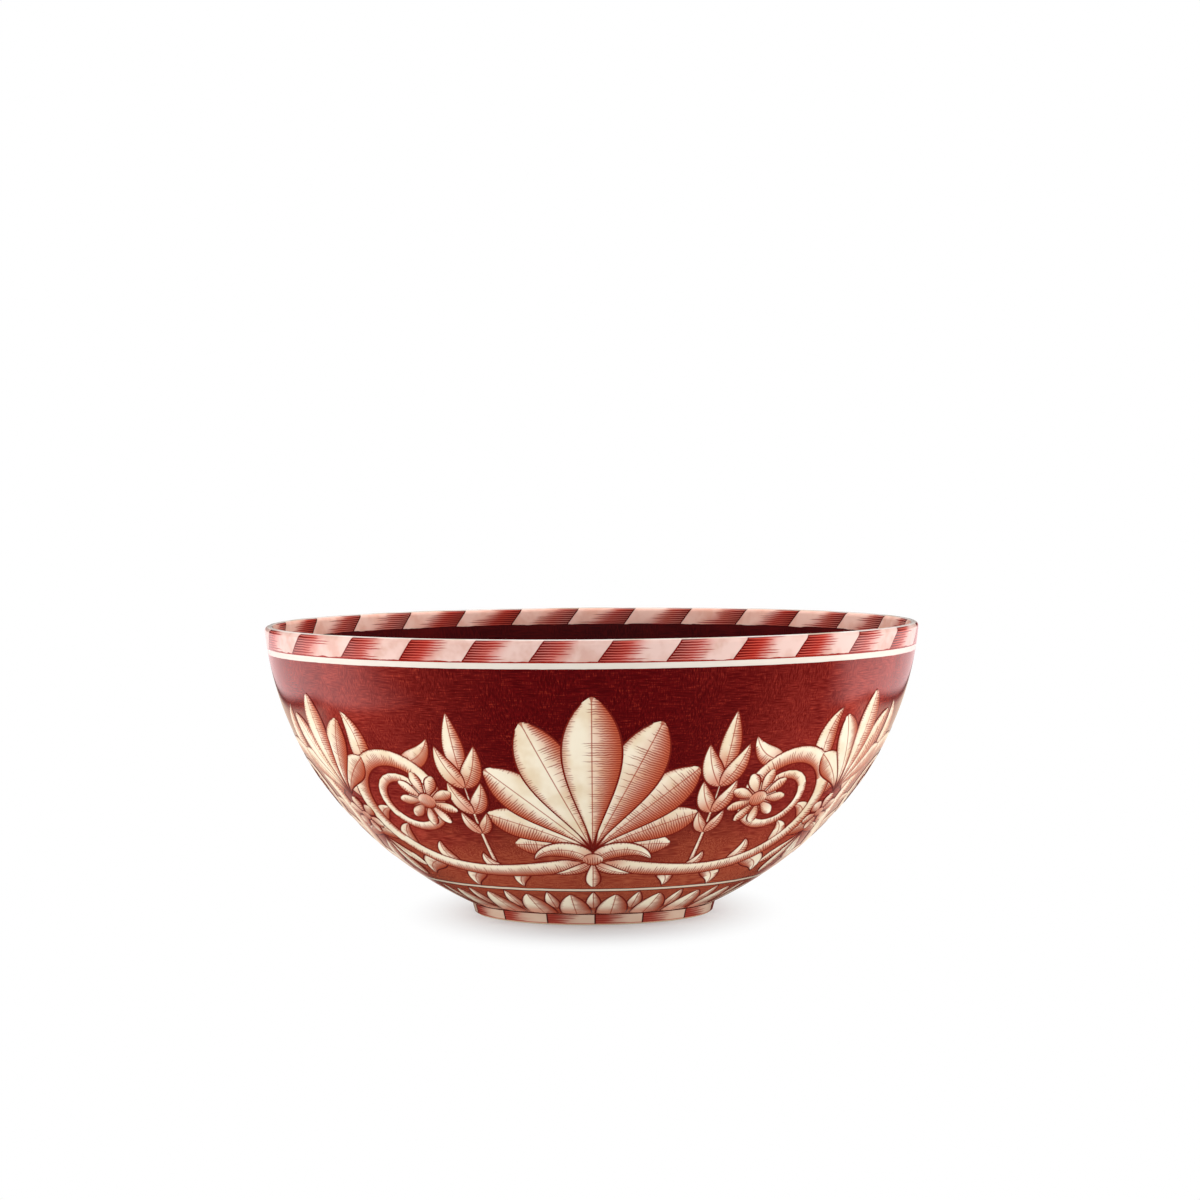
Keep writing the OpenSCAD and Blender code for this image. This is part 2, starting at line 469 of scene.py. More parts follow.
# Painted frieze. Fans of petals and leaf scrolls are drawn in thick cream enamel over the red, three times
# round, and a row of stiff leaves stands on the foot. Each stroke is hatched in sienna on its shaded side.

repeat_turn = math.tau / frieze_repeats
enamel_crown = 0.04 * mm
crown_share = 0.03
enamel_lift = 0.02 * mm
enamel_level = 0.045 * mm
enamel_sunk = 0.05 * mm
across_steps = (-1.0, -0.82, -0.42, 0.0, 0.42, 0.82, 1.0)
shade_way = Vector((0.55, -0.83))

# The wall's even map: a length along the wall counts in angles of the bowl, so shapes keep their form
wall_up = wall_line(0.0, cream_z, foot_h)[::-1]
wall_map = [0.0]
for here, there in zip(wall_up, wall_up[1:]):
    wall_map.append(wall_map[-1] + 2 * (there - here).length / (there.x + here.x))


def wall_at(up):
    """The wall's section point and outward normal at a height on the even map."""
    i = min(max(bisect.bisect_right(wall_map, up) - 1, 0), len(wall_map) - 2)
    along = wall_up[i + 1] - wall_up[i]
    share = (up - wall_map[i]) / (wall_map[i + 1] - wall_map[i])
    return wall_up[i] + share * along, Vector((along.y, -along.x)).normalized()


def on_wall(around, up, lift):
    """A point on the wall, lifted off it."""
    face, normal = wall_at(up)
    face = face + lift * normal
    return Vector((face.x * math.sin(around), -face.x * math.cos(around), face.y))


def sweep(start, heading, length, turn=0, power=1.0, count=26):
    """A brush path on the even map, which leaves a start at a heading and turns as it goes, in degrees."""
    points = [Vector(start)]
    for i in range(count):
        angle = math.radians(heading + turn * ((i + 0.5) / count) ** power)
        points.append(points[-1] + length / count * Vector((math.cos(angle), math.sin(angle))))
    return points


def petal(t):
    """Swell of a petal, full near its tip."""
    return math.sin(math.pi * t ** 1.9) ** 0.7


def blade(t):
    """Swell of a leaf, full near its root and pointed."""
    return math.sin(math.pi * t ** 0.7) ** 0.85


def stem(t):
    """Swell of a stem, which thins as it winds."""
    return (1 - 0.68 * t) * min(1.0, t / 0.03, (1 - t) / 0.02) ** 0.5


def disc(t):
    """Swell of a round dab."""
    return math.sqrt(max(0.0, 1 - (2 * t - 1) ** 2))


def stiff(t):
    """Swell of an upright leaf with a broad foot."""
    return min(1.0, t / 0.05) ** 0.5 * (1 - t ** 2.3) ** 0.8


strokes = []


def brush(points, half_w, swell, level=0, rib=0.0, mirrored=True):
    """Adds a stroke of the repeat, and its mirror image."""
    count = len(points) - 1
    halves = [half_w * swell(i / count) for i in range(count + 1)]
    for side in ((1, -1) if mirrored else (1,)):
        strokes.append(([Vector((side * p.x, p.y)) for p in points], halves, level, rib))


def dab(middle, half, level, mirrored=True, count=12):
    """Adds a round dab."""
    start = (middle[0] - half, middle[1])
    brush(sweep(start, heading=0, length=2 * half, count=count), half, disc, level, 0.0, mirrored)


def fan(root, heading, spread, lengths, half_w, level=1):
    """Adds a fan of petals, with the longest in the middle."""
    for i, length in enumerate(lengths):
        for side in ((1, -1) if i else (1,)):
            turn = -side * 24 * i / len(lengths)
            path = sweep(root, heading - side * spread * i - turn / 2, length, turn)
            brush(path, half_w * (1 - 0.07 * i), petal, level + len(lengths) - i, 1.0, mirrored=False)


def rosette(middle, radius, petals, level=4):
    """Adds a ring of petals over a round ground, with a dab in the middle."""
    dab(middle, 0.62 * radius, level, count=14)
    dab(middle, 0.3 * radius, level + 4, count=14)
    for i in range(petals):
        path = sweep(middle, 360 * i / petals, radius, count=10)
        brush(path, 1.9 * radius / petals, petal, level + 1 + (i + 1) % 3)


def peel(path, share, length, lean, turn, level=2):
    """Adds a leaf that peels off a path at a share of its length."""
    i = round(share * (len(path) - 1))
    way = path[i + 1] - path[i]
    heading = math.degrees(math.atan2(way.y, way.x))
    brush(sweep(path[i], heading + lean, length, turn), 0.22 * length, blade, level, 1.0)


# Great fan with its calyx
fan((0.0, 0.76), heading=90, spread=21, lengths=(0.64, 0.60, 0.53, 0.44, 0.32), half_w=0.098)
brush(sweep((0.0, 0.68), heading=66, length=0.32, turn=-128), 0.052, blade, level=7, rib=1.0)
tongue = sweep((0.0, 0.72), heading=-90, length=0.27, count=14)
brush(tongue, 0.042, petal, level=6, rib=1.0, mirrored=False)
brush(sweep((0.0, 0.68), heading=-52, length=0.22, turn=50), 0.036, blade, level=5, rib=1.0)
dab((0.0, 0.70), 0.045, level=9, mirrored=False)

# Scroll, with leaves that peel off its outer and inner side, and a flower in its eye. Each leaf has its
# share of the scroll's length and its own length.
outer_leaves = ((0.11, 0.20), (0.20, 0.24), (0.29, 0.27), (0.375, 0.28), (0.46, 0.26), (0.54, 0.22),
                (0.62, 0.18))
inner_leaves = ((0.15, 0.17), (0.25, 0.20), (0.34, 0.19), (0.42, 0.16))
scroll = sweep((0.04, 0.66), heading=-12, length=2.42, turn=640, power=2.3, count=84)
brush(scroll, 0.058, stem, level=3)
for share, length in outer_leaves:
    peel(scroll, share, length, lean=-20, turn=-78)
for share, length in inner_leaves:
    peel(scroll, share, length, lean=24, turn=84)
rosette(scroll[-1], radius=0.125, petals=9)

# Sprig that stands between the great fan and the scroll, with three pairs of leaves
sprig = sweep((0.45, 0.62), heading=94, length=0.52, turn=-6, count=40)
brush(sprig, 0.016, stem)
brush(sweep(sprig[-1], heading=88, length=0.21, count=16), 0.04, blade, level=1, rib=1.0)
for share, length, level in ((0.44, 0.13, 6), (0.66, 0.16, 4), (0.88, 0.18, 2)):
    peel(sprig, share, length, lean=40, turn=-34, level=level)
    peel(sprig, share, length, lean=-40, turn=34, level=level + 1)

# Fan, flower and drop between two repeats
seam = repeat_turn / 2
seam_flower = (seam, 0.90)
seam_petals = 6
fan((seam, 1.00), heading=90, spread=25, lengths=(0.38, 0.34, 0.27), half_w=0.058, level=3)
fan((seam, 0.80), heading=-90, spread=32, lengths=(0.32, 0.25), half_w=0.05, level=3)
for i in range(seam_petals):
    path = sweep(seam_flower, heading=360 / seam_petals * (i + 0.5), length=0.095, count=10)
    brush(path, 0.033, petal, level=7 + i % 2, mirrored=False)
dab(seam_flower, 0.028, level=9, mirrored=False)

# Stiff leaves on the foot, with the tips of a second row between them
foot_leaves = 8
leaf_pitch = repeat_turn / foot_leaves
for i in range(foot_leaves):
    around = (i + 0.5) * leaf_pitch - repeat_turn / 2
    leaf = sweep((around, 0.012), heading=90, length=0.35)
    brush(leaf, 0.47 * leaf_pitch, stiff, level=2, rib=1.0, mirrored=False)
    tip = sweep((around + leaf_pitch / 2, 0.14), heading=90, length=0.26)
    brush(tip, 0.2 * leaf_pitch, blade, level=0, rib=1.0, mirrored=False)


def stroke_size(stroke):
    """A stroke's length and full width on the wall."""
    points, halves, _, _ = stroke
    radii = [wall_at(p.y)[0].x for p in points]
    length = sum((b - a).length * r for a, b, r in zip(points, points[1:], radii))
    return length, 2 * max(h * r for h, r in zip(halves, radii))


# The bake map sets the strokes out in rows, widest first, with room beside each for its sides and underside
side_map = 0.3 * mm
under_map = 0.8 * mm
map_gap = 0.5 * mm
map_spare = 1.08
strokes.sort(key=lambda stroke: -stroke_size(stroke)[1])
map_blocks = [stroke_size(stroke) for stroke in strokes]
beside = 2 * side_map + under_map + 2 * map_gap
map_side = map_spare * math.sqrt(sum((length + map_gap) * (width + beside) for length, width in map_blocks))
map_places = []
map_x = 0.0
map_y = 0.0
row_h = 0.0
for length, width in map_blocks:
    if map_x + length > map_side:
        map_x = 0.0
        map_y += row_h
        row_h = 0.0
    map_places.append((map_x, map_y))
    map_x += length + map_gap
    row_h = max(row_h, width + beside)
map_side = max(map_side, map_y + row_h)


# Each point of a stroke carries these marks, from which the enamel's hatching is drawn
mark_names = ("across", "along", "half", "facing", "rib")


def stroke_rows(points, halves):
    """Walks a stroke: each point, its half width, the way to its left, its radius and the run so far."""
    last = len(points) - 1
    along = 0.0
    for i, (point, half) in enumerate(zip(points, halves)):
        way = (points[min(i + 1, last)] - points[max(i - 1, 0)]).normalized()
        radius = wall_at(point.y)[0].x
        if i:
            along += (point - points[i - 1]).length * radius
        yield point, half, Vector((-way.y, way.x)), radius, along


def frieze_piece(name, turn):
    """One repeat of the frieze: each stroke is a low closed ridge whose sides go down into the glaze."""
    mesh = bmesh.new()
    marks = {key: mesh.verts.layers.float.new(key) for key in mark_names}
    bake = mesh.loops.layers.uv.new("OFBake")

    def add_point(place, lift, values):
        """A vertex over a place on the even map, with its marks."""
        vert = mesh.verts.new(on_wall(turn + place.x, place.y, lift))
        for key, value in values.items():
            vert[marks[key]] = value
        return vert

    def add_face(corners):
        """A face from corners (vertex, place on the bake map), each vertex once."""
        ring = []
        for corner in corners:
            if corner[0] not in [vert for vert, _ in ring]:
                ring.append(corner)
        face = mesh.faces.new([vert for vert, _ in ring])
        for loop, (_, place) in zip(face.loops, ring):
            loop[bake].uv = (place[0] / map_side, place[1] / map_side)
        return face

    for (points, halves, level, rib), (map_x, map_y), (_, width) in zip(strokes, map_places, map_blocks):
        rows = []
        ends = (0, len(points) - 1)
        base = enamel_lift + level * enamel_level
        map_mid = map_y + side_map + width / 2
        map_under = map_y + width + 2 * side_map + map_gap
        for i, (point, half, left, radius, along) in enumerate(stroke_rows(points, halves)):
            half_m = half * radius
            crown = min(enamel_crown, crown_share * half_m)
            facing = left.dot(shade_way)
            x = map_x + along
            steps = (0.0,) if i in ends else across_steps
            top = []
            low = []
            for a in steps:
                values = {"across": a, "along": along, "half": half_m, "facing": facing, "rib": rib}
                place = point + a * half * left
                ridge = add_point(place, base + crown * math.sqrt(1 - a * a), values)
                top.append((ridge, (x, map_mid + a * half_m)))
                if a in (steps[0], steps[-1]):
                    low.append(add_point(place, -enamel_sunk, values))
            rows.append((top, low, x, half_m))
        for (near, near_low, near_x, near_half), (far, far_low, far_x, far_half) in zip(rows, rows[1:]):
            for j in range(len(across_steps) - 1):
                a, b = (0, 0) if len(near) == 1 else (j, j + 1)
                c, d = (0, 0) if len(far) == 1 else (j + 1, j)
                add_face([near[a], near[b], far[c], far[d]]).smooth = True
            for end, sign in ((0, -1), (-1, 1)):
                near_out = (near_low[end], (near_x, map_mid + sign * (near_half + side_map)))
                far_out = (far_low[end], (far_x, map_mid + sign * (far_half + side_map)))
                add_face([near[end], far[end], far_out, near_out])
            add_face([(near_low[0], (near_x, map_under)), (near_low[-1], (near_x, map_under + under_map)),
                      (far_low[-1], (far_x, map_under + under_map)), (far_low[0], (far_x, map_under))])
    return new_piece(name, mesh, sharp=50)


# Tapered strokes: a row of brush strokes that start at one edge and run out to points of uneven length
stroke_inputs = ["Rows", "Run", "Seed", "Width"]
tapered_strokes, stroke_in, stroke_out = new_group("Tapered strokes", stroke_inputs, ["Stroke"])
tree = tapered_strokes
row = calc(tree, "FLOOR", stroke_in["Rows"])
pair = tree_node(tree, "ShaderNodeCombineXYZ", {0: row, 1: stroke_in["Seed"]}).outputs[0]
chance = tree_node(tree, "ShaderNodeTexWhiteNoise", {"Vector": pair}, noise_dimensions="2D").outputs["Value"]
length = calc(tree, "MULTIPLY_ADD", chance, 0.6, 0.6)
left = calc(tree, "SUBTRACT", 1.0, calc(tree, "DIVIDE", stroke_in["Run"], length))
taper = calc(tree, "POWER", calc(tree, "MAXIMUM", left, 0.0), 0.5)
half_w = calc(tree, "MULTIPLY", taper, stroke_in["Width"])
off_row = calc(tree, "ABSOLUTE", calc(tree, "SUBTRACT", calc(tree, "FRACT", stroke_in["Rows"]), 0.5))
edge = calc(tree, "MULTIPLY_ADD", off_row, -2.0, half_w)
drawn = calc(tree, "MULTIPLY", step(tree, edge, -0.14, 0.2), step(tree, left, 0.0, 0.2))
tree.links.new(drawn, stroke_out["Stroke"])


def stroke_mask(tree, rows, run, seed, width):
    """Where tapered strokes are painted, in rows and along a run."""
    values = {"Rows": rows, "Run": run, "Seed": seed, "Width": width}
    return place_group(tree, tapered_strokes, values)["Stroke"]


hatch_pitch = 1.2 * mm
hatch_w = 0.78
outline_w = 1.0 * mm
rib_w = 0.40 * mm
root_shade_l = 14 * mm
root_dark_l = 2 * mm
painted_light_from_z = 60 * mm
painted_light_full_z = 12 * mm
enamel_cream = rgb(236, 222, 198)
enamel_warm = rgb(224, 202, 170)
enamel_foot_painted_light = rgb(255, 243, 216)
enamel_wash = rgb(192, 88, 54)
enamel_hatch = rgb(136, 40, 22)
enamel_rib = rgb(158, 62, 40)
enamel_outline = rgb(112, 24, 16)
frieze_enamel, tree, shader = new_material("Frieze enamel", roughness=0.14, bump=0.12)
marks = {key: tree_node(tree, "ShaderNodeAttribute", attribute_name=key).outputs["Fac"] for key in mark_names}
side = calc(tree, "MULTIPLY", marks["across"], calc(tree, "SIGN", marks["facing"]))
depth = calc(tree, "MULTIPLY_ADD", side, -0.5, 0.5)
reach = calc(tree, "MULTIPLY_ADD", calc(tree, "ABSOLUTE", marks["facing"]), 0.46, 0.34)
run = calc(tree, "DIVIDE", depth, reach)
lit_run = calc(tree, "DIVIDE", calc(tree, "SUBTRACT", 1.0, depth), 0.16)
hand = noise(tree, 240.0, 2.0)
rows = calc(tree, "MULTIPLY_ADD", hand, 1.2, calc(tree, "DIVIDE", marks["along"], hatch_pitch))
hatch = calc(tree, "MULTIPLY", stroke_mask(tree, rows, run, 3.0, hatch_w), 0.75)
lit_hatch = calc(tree, "MULTIPLY", stroke_mask(tree, rows, lit_run, 8.0, hatch_w), 0.5)
wash = calc(tree, "MAXIMUM", step(tree, run, 1.15, 0.0), step(tree, lit_run, 1.2, 0.0, to_high=0.5))
creamy = mix(tree, step(tree, noise(tree, 70.0), 0.35, 0.7), enamel_cream, enamel_warm)
# Painted light: the cream is painted paler towards the foot, where the wall faces down and gets less light
low = step(tree, place_group(tree, turned_place)["Height"], painted_light_from_z, painted_light_full_z, to_high=0.85)
creamy = mix(tree, low, creamy, enamel_foot_painted_light)
root = step(tree, marks["along"], root_shade_l, root_dark_l, to_high=0.75)
shaded = mix(tree, calc(tree, "MAXIMUM", wash, root), creamy, enamel_wash)
shaded = mix(tree, calc(tree, "MAXIMUM", hatch, lit_hatch), shaded, enamel_hatch)
off_side = calc(tree, "ABSOLUTE", marks["across"])
from_rib = calc(tree, "MULTIPLY", off_side, marks["half"])
ribbed = calc(tree, "MULTIPLY", step(tree, from_rib, rib_w, 0.45 * rib_w, to_high=0.8), marks["rib"])
shaded = mix(tree, ribbed, shaded, enamel_rib)
from_edge = calc(tree, "MULTIPLY", calc(tree, "SUBTRACT", 0.985, off_side), marks["half"])
contour = step(tree, from_edge, outline_w, 0.45 * outline_w)
tree.links.new(mix(tree, contour, shaded, enamel_outline), shader["Base Color"])

for i in range(frieze_repeats):
    piece = frieze_piece("painted_frieze_%d" % (i + 1), i * repeat_turn)
    paint_with(frieze_enamel, piece)
    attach(piece, "root")


# Ribbon borders. A twisted ribbon is painted in blocks round both sides of the rim: a thin slanted line
# for each fold, with brush strokes of red drawn sideways out of it over a pale pink wash.

ribbon_blocks = 28
ribbon_strokes = 9
ribbon_stroke_w = 0.74
ribbon_wash = rgb(188, 54, 36)
ribbon_red = rgb(150, 20, 13)
ribbon_root = rgb(94, 9, 8)
outside_ribbon = {"low_z": ribbon_out_z, "start": 0.09, "slant": 0.25, "low_reach": 0.62,
                  "high_reach": 0.58, "pale": rgb(222, 188, 177), "dusk": rgb(207, 164, 150),
                  "edge": rgb(146, 38, 30), "fold": rgb(112, 16, 14), "left_give": 0.0120}
# The inside border's pale and dusk pink are painted lighter than the outside's, as painted light for the
# inside of the rim, which gets less light
inside_ribbon = {"low_z": ribbon_in_z, "start": 13.456, "slant": -0.22, "low_reach": 0.80,
                 "high_reach": 0.52, "pale": rgb(255, 208, 190), "dusk": rgb(244, 184, 162),
                 "edge": rgb(72, 6, 8), "fold": rgb(82, 7, 8), "left_give": 0.0}


def block_parts(tree, blocks, count):
    """For a run of painted blocks: the share along each, how near its ends are, and its number."""
    along = calc(tree, "FRACT", blocks)
    near = calc(tree, "MINIMUM", along, calc(tree, "SUBTRACT", 1.0, along))
    return along, near, calc(tree, "FLOORED_MODULO", calc(tree, "FLOOR", blocks), count)


# Ribbon border: the masks of its wash, its strokes, their dark roots and the fold lines. Some blocks have
# more wash than others.
border_inputs = ["Set out", "Rise", "Start", "Slant", "Low reach", "High reach"]
border_outputs = ["Wash", "Stroke", "Root", "Fold"]
ribbon_border, border_in, border_out = new_group("Ribbon border", border_inputs, border_outputs)
tree = ribbon_border
hand = calc(tree, "SUBTRACT", noise(tree, 160.0, 2.0), 0.5)
slid = calc(tree, "MULTIPLY_ADD", border_in["Rise"], border_in["Slant"], border_in["Start"])
blocks = calc(tree, "SUBTRACT", calc(tree, "MULTIPLY", border_in["Set out"], ribbon_blocks), slid)
blocks = calc(tree, "MULTIPLY_ADD", hand, 0.02, blocks)
along, near, block = block_parts(tree, blocks, ribbon_blocks)
rows = calc(tree, "MULTIPLY_ADD", hand, 0.5, calc(tree, "MULTIPLY", border_in["Rise"], ribbon_strokes))
reach = mix_numbers(tree, border_in["Rise"], border_in["Low reach"], border_in["High reach"])
run = calc(tree, "DIVIDE", along, reach)
tree.links.new(stroke_mask(tree, rows, run, block, ribbon_stroke_w), border_out["Stroke"])
chance = tree_node(tree, "ShaderNodeTexWhiteNoise", {"W": block}, noise_dimensions="1D").outputs["Value"]
loaded = calc(tree, "MULTIPLY_ADD", chance, 0.3, 0.68)
tree.links.new(calc(tree, "MULTIPLY", step(tree, run, 1.05, 0.4), loaded), border_out["Wash"])
tree.links.new(step(tree, run, 0.75, 0.0), border_out["Root"])
tree.links.new(step(tree, near, 0.015, 0.009), border_out["Fold"])


def ribbon_colour(tree, look):
    """The painted colour of one ribbon border, up to the top of the lip."""
    place = place_group(tree, turned_place)
    span = {"Value": place["Height"], "From Min": look["low_z"], "From Max": bowl_h}
    rise = tree_node(tree, "ShaderNodeMapRange", span).outputs[0]
    turns = place["Turns"]
    left_end = calc(tree, "MULTIPLY", step(tree, turns, -0.10, -0.22), step(tree, turns, -0.46, -0.30))
    set_out = calc(tree, "MULTIPLY_ADD", left_end, look["left_give"], place["Set out"])
    values = {"Set out": set_out, "Rise": rise, "Start": look["start"], "Slant": look["slant"],
              "Low reach": look["low_reach"], "High reach": look["high_reach"]}
    border = place_group(tree, ribbon_border, values)
    cloud = step(tree, noise(tree, 90.0), 0.38, 0.66)
    pink = mix(tree, cloud, look["pale"], look["dusk"])
    washed = mix(tree, border["Wash"], pink, ribbon_wash)
    red = mix(tree, border["Root"], ribbon_red, ribbon_root)
    hatched = mix(tree, calc(tree, "MULTIPLY", border["Stroke"], 0.95), washed, red)
    folded = mix(tree, border["Fold"], hatched, look["fold"])
    wavy = calc(tree, "MULTIPLY_ADD", noise(tree, 130.0, 2.0), 0.16, rise)
    return mix(tree, step(tree, wavy, 0.16, 0.13), folded, look["edge"])


lip_cut_out = lip.y - coated_t / 2 * math.sin(lip_lean)
lip_cut_in = lip.y + coated_t / 2 * math.sin(lip_lean)

ribbon_out, tree, shader = new_material("Outside ribbon", roughness=0.14, bump=0.16)
tree.links.new(ribbon_colour(tree, outside_ribbon), shader["Base Color"])
ribbon_section = outside_section(lip_cut_out, ribbon_out_z)
fit(lathe("outside_ribbon_border", ribbon_section, rows=8), "outside_ribbon_band", ribbon_out)

ribbon_in, tree, shader = new_material("Inside ribbon", roughness=0.14, bump=0.16)
tree.links.new(ribbon_colour(tree, inside_ribbon), shader["Base Color"])
ribbon_behind = wall_line(coated_t - coat_t, lip_cut_in, ribbon_in_z)
ribbon_section = coat_section(ribbon_behind, wall_line(coated_t, lip_cut_in, ribbon_in_z))
fit(lathe("inside_ribbon_border", ribbon_section, rows=8), "inside_ribbon_band", ribbon_in)


# Lip. Both borders run up over the half-round edge, where the glaze draws thin and cream along the crest,
# which is painted paler still as a highlight. It shines less and has taken a brown tint in places.

lip_steps = 16
crest_half = 0.75 * mm
border_join = 0.2 * mm
lip_cream_and_highlight = rgb(250, 238, 228)
lip_brown = rgb(206, 176, 138)


def lip_arc(radius):
    """The half round over the wall's end, from outside to inside."""
    angles = [math.pi * i / lip_steps - lip_lean for i in range(lip_steps + 1)]
    return [(lip.x + radius * math.cos(a), lip.y + radius * math.sin(a)) for a in angles]


lip_glaze, tree, shader = new_material("Lip glaze", roughness=0.14, bump=0.16)
shader["Specular IOR Level"].default_value = 0.12
outward = calc(tree, "SUBTRACT", place_group(tree, turned_place)["Radius"], lip.x)
over = step(tree, outward, -border_join, border_join)
painted = mix(tree, over, ribbon_colour(tree, inside_ribbon), ribbon_colour(tree, outside_ribbon))
tint = step(tree, noise(tree, 30.0, 2.0), 0.5, 0.66, to_high=0.6)
# The crest is painted cream: partly the thin glaze, partly a painted highlight
crest = step(tree, calc(tree, "ABSOLUTE", outward), 2.2 * crest_half, crest_half)
tree.links.new(mix(tree, crest, painted, mix(tree, tint, lip_cream_and_highlight, lip_brown)), shader["Base Color"])
lip_section = coat_section(lip_arc(coated_t / 2), lip_arc(wall_t / 2))
fit(lathe("lip_cream_glaze", lip_section, rows=8), "lip_edge", lip_glaze)


# Cream line. A band of cream enamel is run round on the wheel under the outside border, with a fine
# dark edge where it meets the red.

line_cream = rgb(225, 215, 204)
line_shade = rgb(213, 199, 184)
line_edge = rgb(128, 34, 28)
line_wobble = 0.4 * mm
edge_top_z = cream_z + 0.40 * mm
edge_full_z = cream_z + 0.24 * mm
cream_line, tree, shader = new_material("Cream line", roughness=0.14, bump=0.16)
height = place_group(tree, turned_place)["Height"]
wobble = calc(tree, "MULTIPLY_ADD", noise(tree, 120.0, 2.0), line_wobble, height)
edge = step(tree, wobble, edge_top_z, edge_full_z)
creamy = mix(tree, grain(tree, (60.0, 60.0, 400.0)), line_cream, line_shade)
tree.links.new(mix(tree, edge, creamy, line_edge), shader["Base Color"])
line_section = outside_section(ribbon_out_z, cream_z)
fit(lathe("cream_enamel_line", line_section, rows=8), "cream_line", cream_line)


# Foot band. The ring's outside is painted in blocks like the rim, with upright lines between them and
# red strokes that fade out over a pale ground.

foot_blocks = 14
foot_strokes = 5
foot_start = 0.03
foot_pale = rgb(194, 170, 150)
foot_dusk = rgb(181, 149, 128)
foot_red = rgb(146, 34, 18)
foot_stroke = rgb(112, 26, 20)
foot_rust = rgb(158, 74, 56)
foot_dark = rgb(62, 12, 10)
top_line_z = foot_h - 0.45 * mm
top_dark_z = foot_h - 0.25 * mm
low_line_z = foot_bevel + 0.6 * mm
low_rust_z = foot_bevel + 0.3 * mm
band_in = drawn_in(foot_bevel)
foot_section = [(ring_out, foot_h), (ring_out + coat_t, foot_h), (ring_out + coat_t - band_in, foot_bevel),
                (ring_out - band_in, foot_bevel)]
foot_border, tree, shader = new_material("Foot border", roughness=0.16, bump=0.16)
place = place_group(tree, turned_place)
blocks = calc(tree, "SUBTRACT", calc(tree, "MULTIPLY", place["Set out"], foot_blocks), foot_start)
along, near, block = block_parts(tree, blocks, foot_blocks)
smear = grain(tree, (70.0, 70.0, 600.0))
run = calc(tree, "DIVIDE", calc(tree, "MULTIPLY_ADD", smear, 0.5, calc(tree, "SUBTRACT", along, 0.25)), 0.62)
rows = calc(tree, "MULTIPLY_ADD", smear, 0.8, calc(tree, "MULTIPLY", place["Height"], foot_strokes / foot_h))
stroke = calc(tree, "MULTIPLY", stroke_mask(tree, rows, run, block, hatch_w), 0.7)
pale = mix(tree, smear, foot_pale, foot_dusk)
washed = mix(tree, step(tree, run, 1.2, 0.2, to_high=0.9), pale, foot_red)
painted = mix(tree, stroke, washed, foot_stroke)
low_line = step(tree, place["Height"], low_line_z, low_rust_z, to_high=0.8)
painted = mix(tree, low_line, painted, foot_rust)
top_line = step(tree, place["Height"], top_line_z, top_dark_z)
lines = calc(tree, "MAXIMUM", step(tree, near, 0.022, 0.010), top_line)
tree.links.new(mix(tree, lines, painted, foot_dark), shader["Base Color"])
fit(lathe("foot_painted_band", foot_section, rows=8), "foot_band", foot_border)


# Studio. A white floor and room, with soft lights at both sides, in front, behind and overhead. The glaze
# shows the front light and a dim room with a soft glow overhead, pale cards at both sides and a warm
# strip of floor behind the bowl.

room_light = 0.4
mirrored_room = 0.06
mirrored_glow = 1.5
backdrop = bpy.data.worlds.new("Studio")
bpy.context.scene.world = backdrop
backdrop.use_nodes = True
tree = backdrop.node_tree
room = tree.nodes["Background"]
room.inputs["Color"].default_value = (0.95, 0.95, 1.0, 1)
white = tree_node(tree, "ShaderNodeBackground", {"Color": (1, 1, 1, 1), "Strength": 1.0})
rays = tree.nodes.new("ShaderNodeLightPath").outputs
upward = axes_of(tree, tree.nodes.new("ShaderNodeTexCoord").outputs["Generated"])["Z"]
overhead = step(tree, upward, 0.70, 1.0, mirrored_room - room_light, mirrored_glow - room_light)
strength = calc(tree, "MULTIPLY_ADD", rays["Is Glossy Ray"], overhead, room_light)
tree.links.new(strength, room.inputs["Strength"])
seen = calc(tree, "MAXIMUM", rays["Is Camera Ray"], rays["Is Transmission Ray"])
both = tree_node(tree, "ShaderNodeMixShader", {0: seen, 1: room.outputs[0], 2: white.outputs[0]})
tree.links.new(both.outputs[0], tree.nodes["World Output"].inputs["Surface"])

floor_half = 20.0
floor_mesh = bpy.data.meshes.new("floor")
floor_mesh.from_pydata([(-floor_half, -floor_half, 0), (floor_half, -floor_half, 0),
                        (floor_half, floor_half, 0), (-floor_half, floor_half, 0)], [], [(0, 1, 2, 3)])
floor = bpy.data.objects.new("floor", floor_mesh)
bpy.context.scene.collection.objects.link(floor)
paper = bpy.data.materials.new("White paper")
paper.use_nodes = True
tree = paper.node_tree
tree.nodes.remove(tree.nodes["Principled BSDF"])
matt = tree_node(tree, "ShaderNodeBsdfDiffuse", {"Color": (0.815, 0.915, 0.95, 1)})
glow = tree_node(tree, "ShaderNodeEmission", {"Color": (1, 1, 1, 1), "Strength": 1.0})
rays = tree.nodes.new("ShaderNodeLightPath").outputs
axes = axes_of(tree, spot(tree))

# The camera sees the shadow close to the bowl and plain white further out, and the wall is lit from below
shadow_near = 45 * mm
shadow_far = 150 * mm
shadow_squeeze = 1.55
floor_bounce = 0.45
aside = calc(tree, "MULTIPLY", axes["X"], shadow_squeeze)
squares = calc(tree, "MULTIPLY_ADD", aside, aside, calc(tree, "MULTIPLY", axes["Y"], axes["Y"]))
far = step(tree, calc(tree, "SQRT", squares), shadow_near, shadow_far, to_low=0.15)
bounce = calc(tree, "MULTIPLY", rays["Is Diffuse Ray"], floor_bounce)
lift = calc(tree, "MULTIPLY_ADD", far, rays["Is Camera Ray"], bounce)
lifted = tree_node(tree, "ShaderNodeMixShader", {0: lift, 1: matt.outputs[0], 2: glow.outputs[0]})

